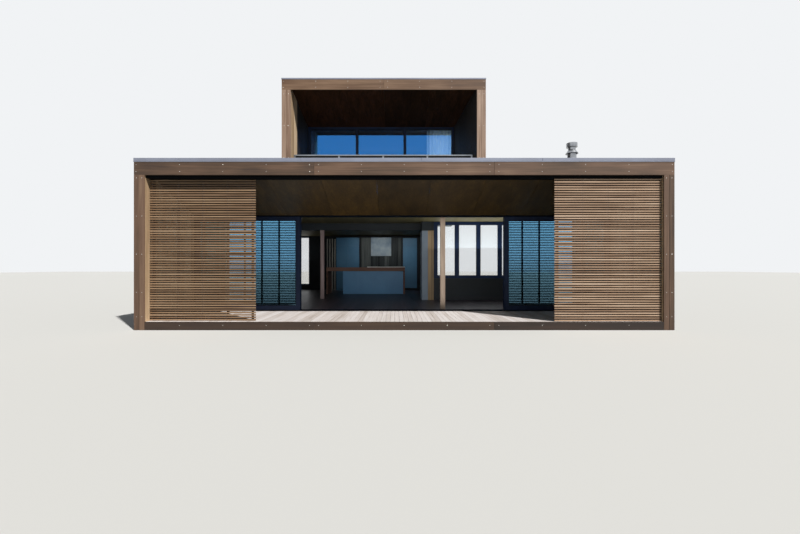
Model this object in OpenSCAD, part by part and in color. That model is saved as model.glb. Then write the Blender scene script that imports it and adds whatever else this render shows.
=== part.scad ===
/* [Plan] */
// Outer width of the lower storey, across the two side walls
house_w = 10800; // [9500:50:12000]
// Outer depth, from the front boards to the back of the kitchen wing
house_d = 11150; // [10200:50:13000]
// Outer depth of the front bar, from the front boards to the back of the dining wall
bar_d = 5214; // [4700:10:5800]
// Outer width of the kitchen wing, from the left side
wing_w = 6630; // [6300:10:7000]
// Thickness of every outer wall
wall_t = 214; // [160:2:260]
// Thickness of the boards on the front of the two frames
board_t = 25; // [18:1:40]

/* [Levels] */
// Height of the floor and the deck above the ground
floor_z = 165; // [120:5:240]
// Height of the room ceiling above the floor
ceiling_h = 2605; // [2560:5:2640]
// Height of the glass door opening above the floor
door_h = 2380; // [2200:5:2420]
// Height of the front frame opening above the deck
portal_h = 2935; // [2880:5:3100]
// Height of the fascia boards
fascia_h = 280; // [220:5:340]
// Height of the metal cap on every parapet
cap_h = 60; // [40:2:90]
// How far the metal cap stands proud of the walls
cap_proud = 6; // [3:1:12]
// Thickness of a ceiling or soffit lining
lining_t = 18; // [12:1:25]
// Thickness of a roof deck
roof_t = 80; // [60:5:100]
// Drop from the parapet's top to the top of the roof deck behind it
roof_drop = 100; // [70:5:130]

/* [Deck] */
// Depth of the verandah, from the front boards to the glass doors
deck_d = 1860; // [1600:10:2100]
// Thickness of the deck boards
deck_t = 30; // [22:1:40]
// Width of a deck joist
joist_w = 45; // [35:1:60]
// Spacing of the deck joists
joist_pitch = 430; // [350:10:500]
// Thickness of the plinth board along the front
plinth_t = 30; // [20:1:40]
// Depth of the beam behind the fascia, which the screens hang from
beam_d = 285; // [270:5:330]

/* [Slatted screens] */
// Width of a screen
screen_w = 2155; // [1800:5:2400]
// Number of slats in a screen
slat_n = 59; // [50:1:64]
// Height of a slat
slat_h = 30; // [24:1:34]
// Thickness of a slat
slat_t = 20; // [14:1:24]
// Number of battens behind the slats
batten_n = 5; // [4:1:6]
// Width of a batten
batten_w = 45; // [35:1:60]
// Thickness of a batten
batten_t = 25; // [18:1:30]
// From the front boards to the face of the front screen
screen_inset = 60; // [55:1:70]
// Spacing of the two tracks
track_pitch = 100; // [80:1:140]
// Clearance of a screen above the deck and beside the walls
screen_gap = 5; // [5:1:10]

/* [Head track] */
// Height of a track
track_h = 51; // [45:1:60]
// Width of a track
track_w = 72; // [68:1:80]
// Wall thickness of a track
track_t = 4; // [3:0.5:6]
// Width of the slot that a hanger runs in
slot_w = 24; // [22:1:28]
// Thickness of a hanger's stem
stem_t = 12; // [8:1:12]
// Width of a hanger's head, across the track
hanger_w = 50; // [44:1:52]
// Thickness of a hanger's head
hanger_t = 12; // [8:1:16]
// Length of a hanger along the track
hanger_l = 140; // [100:5:180]
// From a screen's end to the middle of its hanger
hanger_inset = 300; // [200:10:400]
// Clearance of a screen's top below the track
track_gap = 12; // [8:1:20]
// Running clearance where a hanger or a roller is carried
run_gap = 0.3; // [0.2:0.1:0.5]

/* [Sliding doors] */
// Depth of the door frame
frame_d = 160; // [150:5:200]
// Width of the frame's jambs
jamb_w = 40; // [30:1:60]
// Height of the frame's head
head_h = 30; // [25:1:70]
// Height of the frame's sill
sill_h = 25; // [20:1:35]
// Thickness of a door leaf
leaf_t = 50; // [44:1:56]
// Width of a leaf's stiles
stile_w = 100; // [80:1:125]
// Height of a leaf's top rail
top_rail_h = 100; // [80:1:125]
// Height of a leaf's bottom rail
bottom_rail_h = 110; // [90:5:150]
// How far a sliding leaf overlaps a fixed one when shut
interlock = 50; // [40:1:80]
// Clearance round a sliding leaf
leaf_gap = 6; // [5:0.5:8]
// From the frame's face to the fixed leaves
leaf_inset = 20; // [15:1:25]
// Clearance between the fixed and the sliding leaves
leaf_space = 20; // [12:1:24]
// Diameter of a door roller
roller_dia = 40; // [30:1:50]
// Thickness of a door roller
roller_t = 16; // [12:1:24]
// Thickness of a double glazed pane
pane_t = 24; // [16:1:28]

/* [Windows] */
// Height of a window's head above the floor
window_head = 2595; // [2400:5:2600]
// Height of the dining window's sill above the floor
dining_sill = 720; // [600:10:1000]
// From the inner face of the kitchen wing's right wall to the dining window
dining_margin = 88; // [60:2:120]
// Wall left between the dining window and the right wall
dining_end = 362; // [300:2:420]
// Number of panes in the dining window
dining_panes = 5; // [4:1:6]
// Width of the dining window's members, which are two stiles side by side
dining_bar_w = 130; // [100:5:150]
// Height of the dining window's sill and head members
dining_rail_h = 90; // [60:5:120]
// Width of the narrow window in the back wall
slot_window_w = 770; // [600:10:900]
// From the left wall to the narrow window
slot_window_x = 66; // [50:2:200]
// Height of the narrow window's sill above the floor
slot_window_sill = 200; // [100:10:600]
// Depth of a window frame
window_d = 90; // [70:5:120]
// Width of a window frame's members
window_w = 60; // [45:1:80]

/* [Posts and kitchen] */
// Side of a square timber post
post_w = 120; // [90:5:180]
// Middle of the front post, to the right of the middle of the house
front_post_x = 1050; // [900:10:1200]
// Middle of the front post, behind the front boards
front_post_d = 2250; // [2200:5:2400]
// Middle of the inner post, to the left of the middle of the house
inner_post_x = 2700; // [2500:10:2760]
// Middle of the inner post, behind the inner face of the dining wall
inner_post_back = 570; // [300:10:660]
// Height of the beam that the inner post carries
living_beam_h = 240; // [200:5:280]
// Width of the wall block beside the dining room
nib_w = 306; // [200:2:400]
// Depth of the wall block beside the dining room
nib_d = 760; // [500:10:1000]
// Height of the boxing over the wall block
nib_head_h = 300; // [250:5:360]
// Length of the kitchen island
island_l = 3194; // [2800:10:3400]
// Left end of the island, from the inner face of the left wall
island_x = 2211; // [2000:10:2400]
// From the front boards to the face of the island
island_d0 = 7800; // [7200:10:8000]
// Depth of the island's top
island_d = 900; // [700:10:1100]
// Height of the island's top above the floor
island_h = 1080; // [900:10:1100]
// Thickness of the island's timber top
island_t = 150; // [60:5:160]
// Thickness of the island's timber ends
island_end_t = 70; // [50:5:160]
// Knee space at the island's left end
knee_w = 600; // [300:10:700]
// How far the cupboards stand back under the island's top
island_inset = 60; // [30:5:120]
// Depth of the tall kitchen cupboards
cupboard_d = 600; // [500:10:650]
// Width of the tall cupboards on the left
cupboard_left_w = 1083; // [900:5:1200]
// Width of the tall cupboards on the right
cupboard_right_w = 823; // [600:5:900]
// Left end of the cupboards, from the inner face of the left wall
cupboard_x = 2225; // [2000:5:2400]
// Height of the tall cupboards above the floor
cupboard_h = 2485; // [2300:5:2500]
// Thickness of the timber lining between the cupboards
kitchen_lining_t = 40; // [20:1:60]
// Number of upright battens beside the cupboards
kitchen_batten_n = 4; // [3:1:6]
// Side of one of these battens
kitchen_batten_w = 45; // [35:1:60]
// Spacing of these battens
kitchen_batten_pitch = 119; // [100:1:140]
// Left batten, from the inner face of the left wall
kitchen_batten_x = 1778; // [1600:2:1800]
// Height of these battens above the floor
kitchen_batten_h = 2430; // [2200:10:2500]

/* [Upper storey] */
// Outer width of the upper storey
upper_w = 4855; // [4400:5:5200]
// Left side of the upper storey, from the left side of the house
upper_x = 2522; // [2300:2:2700]
// From the front boards to the front of the upper storey
upper_setback = 1433; // [1300:5:1600]
// Outer depth of the upper storey
upper_d = 5600; // [5000:10:6200]
// Height of the upper floor above the ground
upper_floor_z = 3000; // [2990:5:3100]
// Thickness of the upper floor
upper_floor_t = 180; // [140:5:200]
// Height of the upper front frame's opening above the upper floor
upper_portal_h = 2475; // [2400:5:2600]
// Height of the upper fascia boards
upper_fascia_h = 245; // [200:5:280]
// Height of the metal cap on the upper parapet
upper_cap_h = 35; // [25:1:60]
// Depth of the beam behind the upper fascia
upper_beam_d = 100; // [80:5:150]
// How far the upper soffit starts above the fascia's lower edge
upper_soffit_lip = 45; // [20:5:60]
// From the upper front to the window
upper_window_setback = 1525; // [1400:5:1800]
// Height of the upper window and ceiling above the upper floor
upper_ceiling_h = 2150; // [2050:2:2250]
// How far the right cheek leans in over its length
splay_w = 310; // [200:5:380]
// How far the left cheek leans in over its length
left_splay_w = 64; // [40:2:90]
// Depth of the beam over the upper window
upper_head_d = 150; // [100:5:200]
// Number of panes in the upper window
upper_panes = 3; // [2:1:4]
// Width of the back window upstairs
back_window_w = 2400; // [1800:10:3000]
// Height of the back window's sill above the upper floor
back_window_sill = 900; // [700:10:1100]
// Thickness of the upper roof deck
upper_roof_drop = 55; // [40:5:80]

/* [Balustrade] */
// From the upper front to the balustrade
rail_setback = 240; // [200:5:300]
// Height of the top rail above the upper floor
rail_z = 1000; // [950:5:1100]
// Height of the top rail's section
rail_h = 25; // [20:1:50]
// Width of the top rail's section
rail_w = 50; // [40:1:60]
// Width of a balustrade post along the rail
baluster_w = 40; // [20:1:50]
// Thickness of a balustrade post across the rail
baluster_t = 20; // [12:1:30]
// Number of bays in the balustrade
rail_bays = 4; // [3:1:5]
// Thickness of the glass in the balustrade
rail_glass_t = 12; // [8:1:14]
// Clearance under the balustrade's glass
rail_glass_z = 60; // [40:5:100]
// Clearance between that glass and the posts and rail that hold it
rail_glass_gap = 0.3; // [0.2:0.1:0.6]

/* [Curtain] */
// Width of the gathered curtain behind the right pane
curtain_w = 730; // [600:10:900]
// Depth of the curtain's pleats
pleat_d = 70; // [50:2:90]
// Spacing of the curtain's pleats
pleat_pitch = 104; // [80:2:130]
// Thickness that the gathered cloth takes up
curtain_t = 14; // [8:1:20]
// From the window frame to the curtain
curtain_gap = 60; // [40:5:100]
// Clearance above the floor and below the ceiling
curtain_clear = 0.3; // [0.2:0.1:0.5]

/* [Flue] */
// Diameter of the flue's pipe
flue_dia = 240; // [180:5:260]
// Wall thickness of the flue
flue_wall = 2; // [1.5:0.5:3]
// Middle of the flue, from the right side of the house
flue_side = 650; // [550:10:900]
// Middle of the flue, behind the front boards
flue_d = 3000; // [2800:10:3200]
// Height of the flue's top above the ground
flue_z = 4710; // [4600:10:4900]
// Diameter of the flue's rain cap
cowl_dia = 290; // [270:5:360]
// Height of the rain cap's drum
cowl_h = 112; // [90:2:150]
// Diameter of the neck under the rain cap
neck_dia = 200; // [160:5:220]
// Height of the neck under the rain cap
neck_h = 80; // [60:5:120]
// Diameter of the lower edge of the collar on the pipe's top
collar_dia = 330; // [300:5:380]
// Height of the collar on the pipe's top
collar_h = 100; // [60:5:140]
// Diameter of the flue's skirt on the roof
skirt_dia = 480; // [420:10:560]
// Height of the flue's skirt
skirt_h = 160; // [120:5:220]

/* [Hidden] */
// How far a cut passes the face that it opens
over = 1;
half_w = house_w / 2;
in_x = half_w - wall_t;
wing_x1 = -half_w + wing_w;
wing_in = wing_x1 - wall_t;
bar_in = bar_d - wall_t;
back_in = house_d - wall_t;
ceiling_z = floor_z + ceiling_h;
door_z = floor_z + door_h;
portal_z = floor_z + portal_h;
wall_z = portal_z + fascia_h;
roof_z = wall_z - roof_drop - roof_t;
beam_back = board_t + beam_d;
door_back = deck_d + frame_d;
window_z = floor_z + window_head;
inner_post_d = bar_in + inner_post_back;
dining_x0 = wing_in + dining_margin;
dining_x1 = in_x - dining_end;

upper_x0 = -half_w + upper_x;
upper_x1 = upper_x0 + upper_w;
upper_in0 = upper_x0 + wall_t;
upper_in1 = upper_x1 - wall_t;
upper_back = upper_setback + upper_d;
upper_base = upper_floor_z - upper_floor_t;
upper_portal_z = upper_floor_z + upper_portal_h;
upper_wall_z = upper_portal_z + upper_fascia_h;
upper_roof_z = upper_wall_z - upper_roof_drop - roof_t;
upper_beam_back = upper_setback + board_t + upper_beam_d;
upper_soffit_z = upper_portal_z + upper_soffit_lip;
upper_window_d = upper_setback + upper_window_setback;
upper_ceiling_z = upper_floor_z + upper_ceiling_h;
upper_head_back = upper_window_d + upper_head_d;
cheek_front = upper_setback + board_t;
cheek_x = upper_in1 - splay_w;
left_cheek_x = upper_in0 + left_splay_w;

screen_t = slat_t + batten_t;
screen_z0 = floor_z + screen_gap;
screen_z1 = portal_z - track_h - track_gap;
slat_pitch = (screen_z1 - screen_z0 - slat_h) / (slat_n - 1);
batten_pitch = (screen_w - batten_w - 2 * batten_w) / (batten_n - 1);
leaf_w = (in_x - jamb_w - leaf_gap + interlock) / 2;
leaf_z0 = floor_z + sill_h;
leaf_z1 = door_z - head_h;
fixed_d = deck_d + leaf_inset;
slide_d = fixed_d + leaf_t + leaf_space;

// Depths are measured back from the face of the front boards
module from_front() translate([0, -house_d / 2, 0]) children();

// A plain block between two corners
module block(x0, x1, d0, d1, z0, z1) translate([x0, d0, z0]) cube([x1 - x0, d1 - d0, z1 - z0]);

// A profile drawn as depth and height, run along the house from x0 to x1
module run_along(x0, x1) translate([x0, 0, 0]) rotate([90, 0, 90]) linear_extrude(x1 - x0) children();

// The outline of the lower storey, grown or shrunk all round
module plan(grow) polygon([
    [-half_w - grow, -grow],
    [half_w + grow, -grow],
    [half_w + grow, bar_d + grow],
    [wing_x1 + grow, bar_d + grow],
    [wing_x1 + grow, house_d + grow],
    [-half_w - grow, house_d + grow]
]);

// The room outline behind a given depth, inside the walls
module room_plan(d0) intersection() {
    plan(-wall_t);
    translate([-half_w, d0]) square([house_w, house_d - d0]);
}

// The space that the upper storey takes up, from its floor upwards
module upper_space() block(upper_x0, upper_x1, upper_setback, upper_back, upper_base, upper_wall_z);

// A frame in a wall, with upright bars between its panes
module pane_frame(x0, x1, d0, z0, z1, panes, depth, member, rail) {
    step = (x1 - x0 - member) / panes;
    difference() {
        block(x0, x1, d0, d0 + depth, z0, z1);
        for (i = [0 : panes - 1])
            block(x0 + member + i * step, x0 + (i + 1) * step, d0 - over, d0 + depth + over,
                z0 + rail, z1 - rail);
    }
}

// The panes of such a frame
module panes_in(x0, x1, d0, z0, z1, panes, depth, member, rail) {
    step = (x1 - x0 - member) / panes;
    for (i = [0 : panes - 1])
        block(x0 + member + i * step, x0 + (i + 1) * step,
            d0 + (depth - pane_t) / 2, d0 + (depth + pane_t) / 2, z0 + rail, z1 - rail);
}

module ground_slab() color("dimgray") from_front() linear_extrude(floor_z) room_plan(deck_d);

// Joists run across the house, on the ground, under the deck boards
module deck_joists() color("saddlebrown") from_front() {
    joist_n = floor((deck_d - plinth_t - joist_w) / joist_pitch);
    for (i = [0 : joist_n])
        block(-in_x, in_x, plinth_t + i * joist_pitch, plinth_t + i * joist_pitch + joist_w,
            0, floor_z - deck_t);
}

module deck() color("tan") from_front() block(-in_x, in_x, plinth_t, deck_d, floor_z - deck_t, floor_z);

module front_plinth() color("peru") from_front() block(-in_x, in_x, 0, plinth_t, 0, floor_z);

module left_wall() color("dimgray") from_front() block(-half_w, -in_x, board_t, house_d, 0, wall_z);

module right_wall() color("dimgray") from_front() block(in_x, half_w, board_t, bar_d, 0, wall_z);

module slot_window_hole(grow)
    block(-in_x + slot_window_x, -in_x + slot_window_x + slot_window_w,
        back_in - grow, house_d + grow, floor_z + slot_window_sill, window_z);

module back_wall() color("dimgray") from_front() difference() {
    block(-in_x, wing_in, back_in, house_d, 0, wall_z);
    slot_window_hole(over);
}

// The dining window's opening starts in the thickness of the wing's wall
module dining_hole()
    block(dining_x0, dining_x1, bar_in - over, bar_d + over, floor_z + dining_sill, window_z);

module wing_wall() color("dimgray") from_front() difference() {
    block(wing_in, wing_x1, bar_in, house_d, 0, wall_z);
    dining_hole();
    upper_space();
}

module dining_wall() color("dimgray") from_front() difference() {
    block(wing_x1, in_x, bar_in, bar_d, 0, wall_z);
    dining_hole();
    upper_space();
}

module wall_nib() color("gray") from_front()
    block(wing_in - nib_w, wing_in, bar_in, bar_in + nib_d, floor_z, ceiling_z - nib_head_h);

module dining_window(part) {
    d0 = bar_in + (wall_t - window_d) / 2;
    z0 = floor_z + dining_sill;
    if (part == "frame")
        pane_frame(dining_x0, dining_x1, d0, z0, window_z,
            dining_panes, window_d, dining_bar_w, dining_rail_h);
    else
        panes_in(dining_x0, dining_x1, d0, z0, window_z,
            dining_panes, window_d, dining_bar_w, dining_rail_h);
}

module slot_window(part) {
    x0 = -in_x + slot_window_x;
    d0 = back_in + (wall_t - window_d) / 2;
    if (part == "frame")
        pane_frame(x0, x0 + slot_window_w, d0, floor_z + slot_window_sill, window_z,
            1, window_d, window_w, window_w);
    else
        panes_in(x0, x0 + slot_window_w, d0, floor_z + slot_window_sill, window_z,
            1, window_d, window_w, window_w);
}

module window_frames() color("midnightblue") from_front() {
    dining_window("frame");
    slot_window("frame");
}

module window_glass() color("lightblue") from_front() {
    dining_window("glass");
    slot_window("glass");
}

// The front frame: a board face on the end of each side wall, and the fascia across both
module pillar_boards() color("sienna") from_front() for (side = [-1, 1])
    block(side * (half_w + in_x) / 2 - wall_t / 2, side * (half_w + in_x) / 2 + wall_t / 2,
        0, board_t, 0, portal_z);

module fascia_boards() color("sienna") from_front() block(-half_w, half_w, 0, board_t, portal_z, wall_z);

module fascia_beam() color("saddlebrown") from_front()
    block(-in_x, in_x, board_t, beam_back, portal_z, wall_z);

module roof_cap() color("thistle") from_front() difference() {
    translate([0, 0, wall_z]) linear_extrude(cap_h) difference() {
        plan(cap_proud);
        plan(-wall_t);
    }
    translate([0, 0, cap_h]) upper_space();
    upper_space();
}

module roof_deck() color("darkgray") from_front() difference() {
    translate([0, 0, roof_z]) linear_extrude(roof_t) room_plan(beam_back);
    upper_space();
}

// The lining slopes down from the beam to the head of the glass doors
module verandah_soffit() color("darkolivegreen") from_front() run_along(-in_x, in_x) polygon([
    [beam_back, portal_z],
    [deck_d, door_z],
    [deck_d, door_z + lining_t],
    [beam_back, portal_z + lining_t]
]);

module room_ceiling() color("dimgray") from_front()
    translate([0, 0, ceiling_z]) linear_extrude(lining_t) room_plan(door_back);

module door_beam() color("saddlebrown") from_front()
    block(-in_x, in_x, deck_d, door_back, door_z, upper_base);

// Two steel channels under the beam, slotted below, one for each screen
module head_track() color("darkslategray") from_front() for (row = [0, 1]) {
    middle = screen_inset + screen_t / 2 + row * track_pitch;
    run_along(-in_x, in_x) difference() {
        translate([middle - track_w / 2, portal_z - track_h]) square([track_w, track_h]);
        translate([middle - track_w / 2 + track_t, portal_z - track_h + track_t])
            square([track_w - 2 * track_t, track_h - 2 * track_t]);
        translate([middle - slot_w / 2, portal_z - track_h - over]) square([slot_w, track_t + 2 * over]);
    }
}

// A hanger's head runs in the channel and rests on its lips
module hanger(x, middle) {
    lip_z = portal_z - track_h + track_t;
    block(x - hanger_l / 2, x + hanger_l / 2, middle - stem_t / 2, middle + stem_t / 2,
        screen_z1 - slat_h, lip_z + run_gap + hanger_t / 2);
    block(x - hanger_l / 2, x + hanger_l / 2, middle - hanger_w / 2, middle + hanger_w / 2,
        lip_z + run_gap, lip_z + run_gap + hanger_t);
}

// A screen of level slats on upright battens, hung from one track
module screen(x0, row) {
    d0 = screen_inset + row * track_pitch;
    for (i = [0 : slat_n - 1])
        block(x0, x0 + screen_w, d0, d0 + slat_t,
            screen_z0 + i * slat_pitch, screen_z0 + i * slat_pitch + slat_h);
    for (i = [0 : batten_n - 1])
        block(x0 + batten_w + i * batten_pitch, x0 + 2 * batten_w + i * batten_pitch,
            d0 + slat_t, d0 + screen_t, screen_z0, screen_z1);
    for (x = [x0 + hanger_inset, x0 + screen_w - hanger_inset])
        hanger(x, d0 + screen_t / 2);
}

module left_screen() color("peru") from_front() screen(-in_x + screen_gap, 1);

module right_screen() color("peru") from_front() screen(in_x - screen_gap - screen_w, 0);

module door_frame() color("midnightblue") from_front() difference() {
    block(-in_x, in_x, deck_d, door_back, floor_z, door_z);
    block(-in_x + jamb_w, in_x - jamb_w, deck_d - over, door_back + over, leaf_z0, leaf_z1);
}

// A leaf: a frame of two stiles and two rails
module leaf_frame(x0, d0, z0, z1) difference() {
    block(x0, x0 + leaf_w, d0, d0 + leaf_t, z0, z1);
    block(x0 + stile_w, x0 + leaf_w - stile_w, d0 - over, d0 + leaf_t + over,
        z0 + bottom_rail_h, z1 - top_rail_h);
}

module leaf_pane(x0, d0, z0, z1)
    block(x0 + stile_w, x0 + leaf_w - stile_w, d0 + (leaf_t - pane_t) / 2, d0 + (leaf_t + pane_t) / 2,
        z0 + bottom_rail_h, z1 - top_rail_h);

module fixed_panels() color("midnightblue") from_front() {
    leaf_frame(-in_x + jamb_w, fixed_d, leaf_z0, leaf_z1);
    leaf_frame(in_x - jamb_w - leaf_w, fixed_d, leaf_z0, leaf_z1);
}

module fixed_glass() color("lightblue") from_front() {
    leaf_pane(-in_x + jamb_w, fixed_d, leaf_z0, leaf_z1);
    leaf_pane(in_x - jamb_w - leaf_w, fixed_d, leaf_z0, leaf_z1);
}

// A sliding leaf stands on two rollers in its bottom rail
module sliding_leaf(x0) {
    leaf_frame(x0, slide_d, leaf_z0 + leaf_gap, leaf_z1 - leaf_gap);
    for (x = [x0 + stile_w, x0 + leaf_w - stile_w])
        translate([x, slide_d + (leaf_t - roller_t) / 2, leaf_z0 + run_gap + roller_dia / 2])
            rotate([-90, 0, 0]) cylinder(d = roller_dia, h = roller_t, $fn = 48);
}

module left_door() color("midnightblue") from_front() sliding_leaf(-in_x + jamb_w + leaf_gap);

module left_door_glass() color("lightblue") from_front()
    leaf_pane(-in_x + jamb_w + leaf_gap, slide_d, leaf_z0 + leaf_gap, leaf_z1 - leaf_gap);

module right_door() color("midnightblue") from_front() sliding_leaf(in_x - jamb_w - leaf_gap - leaf_w);

module right_door_glass() color("lightblue") from_front()
    leaf_pane(in_x - jamb_w - leaf_gap - leaf_w, slide_d, leaf_z0 + leaf_gap, leaf_z1 - leaf_gap);

module post(x, d, top) block(x - post_w / 2, x + post_w / 2, d - post_w / 2, d + post_w / 2, floor_z, top);

module front_post() color("burlywood") from_front() post(front_post_x, front_post_d, ceiling_z);

module inner_post() color("brown") from_front() post(-inner_post_x, inner_post_d, ceiling_z - living_beam_h);

// The beam under the ceiling, from the left wall over the inner post to the boxing over the wall block
module living_beam() color("dimgray") from_front() {
    block(-in_x, wing_in - nib_w, inner_post_d - post_w / 2, inner_post_d + post_w / 2,
        ceiling_z - living_beam_h, ceiling_z);
    block(wing_in - nib_w, wing_in, bar_in, bar_in + nib_d, ceiling_z - nib_head_h, ceiling_z);
}

// The island's timber top turns down to the floor at both ends
module island_top() color("peru") from_front() difference() {
    block(-in_x + island_x, -in_x + island_x + island_l, island_d0, island_d0 + island_d,
        floor_z, floor_z + island_h);
    block(-in_x + island_x + island_end_t, -in_x + island_x + island_l - island_end_t,
        island_d0 - over, island_d0 + island_d + over, floor_z - over, floor_z + island_h - island_t);
}

module kitchen_island() color("slategray") from_front()
    block(-in_x + island_x + island_end_t + knee_w, -in_x + island_x + island_l - island_end_t,
        island_d0 + island_inset, island_d0 + island_d - island_inset,
        floor_z, floor_z + island_h - island_t);

module tall_cupboards() color("slategray") from_front() {
    block(-in_x + cupboard_x, -in_x + cupboard_x + cupboard_left_w, back_in - cupboard_d, back_in,
        floor_z, floor_z + cupboard_h);
    block(wing_in - cupboard_right_w, wing_in, back_in - cupboard_d, back_in,
        floor_z, floor_z + cupboard_h);
}

module kitchen_lining() color("saddlebrown") from_front()
    block(-in_x + cupboard_x + cupboard_left_w, wing_in - cupboard_right_w,
        back_in - cupboard_d, back_in - cupboard_d + kitchen_lining_t, floor_z, floor_z + cupboard_h);

module kitchen_battens() color("burlywood") from_front() for (i = [0 : kitchen_batten_n - 1]) {
    x0 = -in_x + kitchen_batten_x + i * kitchen_batten_pitch;
    d0 = back_in - cupboard_d;
    block(x0, x0 + kitchen_batten_w, d0, d0 + kitchen_batten_w, floor_z, floor_z + kitchen_batten_h);
}

module upper_floor() color("dimgray") from_front()
    block(upper_x0, upper_x1, upper_setback, upper_back, upper_base, upper_floor_z);

module upper_left_wall() color("dimgray") from_front()
    block(upper_x0, upper_in0, upper_setback + board_t, upper_back, upper_floor_z, upper_wall_z);

module upper_right_wall() color("dimgray") from_front()
    block(upper_in1, upper_x1, upper_setback + board_t, upper_back, upper_floor_z, upper_wall_z);

back_window_x0 = (upper_x0 + upper_x1 - back_window_w) / 2;
back_window_z0 = upper_floor_z + back_window_sill;

module upper_back_wall() color("dimgray") from_front() difference() {
    block(upper_in0, upper_in1, upper_back - wall_t, upper_back, upper_floor_z, upper_wall_z);
    block(back_window_x0, back_window_x0 + back_window_w, upper_back - wall_t - over, upper_back + over,
        back_window_z0, upper_ceiling_z);
}

// The upper front frame: a board face on each wall end and across the top
module upper_boards() color("sienna") from_front() difference() {
    block(upper_x0, upper_x1, upper_setback, upper_setback + board_t, upper_floor_z, upper_wall_z);
    block(upper_in0, upper_in1, upper_setback - over, upper_setback + board_t + over,
        upper_floor_z - over, upper_portal_z);
}

module upper_beams() color("saddlebrown") from_front() {
    block(upper_in0, upper_in1, upper_setback + board_t, upper_beam_back, upper_soffit_z, upper_wall_z);
    block(upper_in0, upper_in1, upper_window_d, upper_head_back, upper_ceiling_z, upper_roof_z);
}

module upper_cap() color("thistle") from_front() difference() {
    block(upper_x0 - cap_proud, upper_x1 + cap_proud, upper_setback - cap_proud, upper_back + cap_proud,
        upper_wall_z, upper_wall_z + upper_cap_h);
    block(upper_in0, upper_in1, upper_beam_back, upper_back - wall_t,
        upper_wall_z - over, upper_wall_z + upper_cap_h + over);
}

module upper_roof() color("darkgray") from_front()
    block(upper_in0, upper_in1, upper_beam_back, upper_back - wall_t, upper_roof_z, upper_roof_z + roof_t);

// The upper lining slopes down from the beam to the head of the window
module upper_soffit() color("darkolivegreen") from_front() run_along(upper_in0, upper_in1) polygon([
    [upper_beam_back, upper_soffit_z],
    [upper_window_d, upper_ceiling_z],
    [upper_window_d, upper_ceiling_z + lining_t],
    [upper_beam_back, upper_soffit_z + lining_t]
]);

module upper_ceiling() color("white") from_front()
    block(upper_in0, upper_in1, upper_head_back, upper_back - wall_t,
        upper_ceiling_z, upper_ceiling_z + lining_t);

// A wedge beside the upper window, from a wall's face to the cheek's face
module cheek(wall_x, face_x) linear_extrude(upper_soffit_z - upper_floor_z) polygon([
    [wall_x, cheek_front],
    [wall_x, upper_window_d + window_d],
    [face_x, upper_window_d + window_d],
    [face_x, upper_window_d]
]);

// The cheeks lean in towards the window and stop under the sloping lining
module upper_cheek() color("dimgray") from_front() difference() {
    translate([0, 0, upper_floor_z]) {
        cheek(upper_in1, cheek_x);
        cheek(upper_in0, left_cheek_x);
    }
    run_along(upper_in0 - over, upper_in1 + over) polygon([
        [upper_beam_back, upper_soffit_z],
        [upper_window_d, upper_ceiling_z],
        [upper_window_d + window_d + over, upper_ceiling_z],
        [upper_window_d + window_d + over, upper_wall_z],
        [upper_beam_back, upper_wall_z]
    ]);
}

module upper_frames() color("midnightblue") from_front() {
    pane_frame(left_cheek_x, cheek_x, upper_window_d, upper_floor_z, upper_ceiling_z,
        upper_panes, window_d, window_w, window_w);
    pane_frame(back_window_x0, back_window_x0 + back_window_w, upper_back - (wall_t + window_d) / 2,
        back_window_z0, upper_ceiling_z, upper_panes, window_d, window_w, window_w);
}

module upper_glass() color("lightblue") from_front() {
    panes_in(left_cheek_x, cheek_x, upper_window_d, upper_floor_z, upper_ceiling_z,
        upper_panes, window_d, window_w, window_w);
    panes_in(back_window_x0, back_window_x0 + back_window_w, upper_back - (wall_t + window_d) / 2,
        back_window_z0, upper_ceiling_z, upper_panes, window_d, window_w, window_w);
}

// A pleated curtain hangs from the ceiling's underside
curtain_x0 = cheek_x - curtain_w;
curtain_d = upper_head_back + curtain_gap;
curtain_steps = 6 * floor(curtain_w / pleat_pitch);
function pleat(i) = pleat_d / 2 * sin(60 * i);

module curtain() color("whitesmoke") from_front()
    translate([curtain_x0, curtain_d + pleat_d / 2, upper_floor_z + curtain_clear])
        linear_extrude(upper_ceiling_h - 2 * curtain_clear) polygon(concat(
            [for (i = [0 : curtain_steps]) [i * curtain_w / curtain_steps, pleat(i)]],
            [for (i = [curtain_steps : -1 : 0]) [i * curtain_w / curtain_steps, pleat(i) + curtain_t]]
        ));

// How far along a cheek a given depth is, from 0 at the front to 1 at the window
function along_cheek(d) = (d - cheek_front) / (upper_window_d - cheek_front);
rail_d = upper_setback + rail_setback;
rail_start = upper_in0 + left_splay_w * along_cheek(rail_d + rail_w);
rail_end = upper_in1 - splay_w * along_cheek(rail_d + rail_w);
rail_step = (rail_end - rail_start - baluster_w) / rail_bays;

module balustrade() color("gray") from_front() {
    block(rail_start, rail_end, rail_d, rail_d + rail_w,
        upper_floor_z + rail_z - rail_h, upper_floor_z + rail_z);
    for (i = [0 : rail_bays])
        block(rail_start + i * rail_step, rail_start + i * rail_step + baluster_w,
            rail_d + (rail_w - baluster_t) / 2, rail_d + (rail_w + baluster_t) / 2,
            upper_floor_z, upper_floor_z + rail_z - rail_h / 2);
}

module balustrade_glass() color("lightblue") from_front() for (i = [0 : rail_bays - 1])
    block(rail_start + i * rail_step + baluster_w + rail_glass_gap,
        rail_start + (i + 1) * rail_step - rail_glass_gap,
        rail_d + (rail_w - rail_glass_t) / 2, rail_d + (rail_w + rail_glass_t) / 2,
        upper_floor_z + rail_glass_z, upper_floor_z + rail_z - rail_h - rail_glass_gap);

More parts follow.
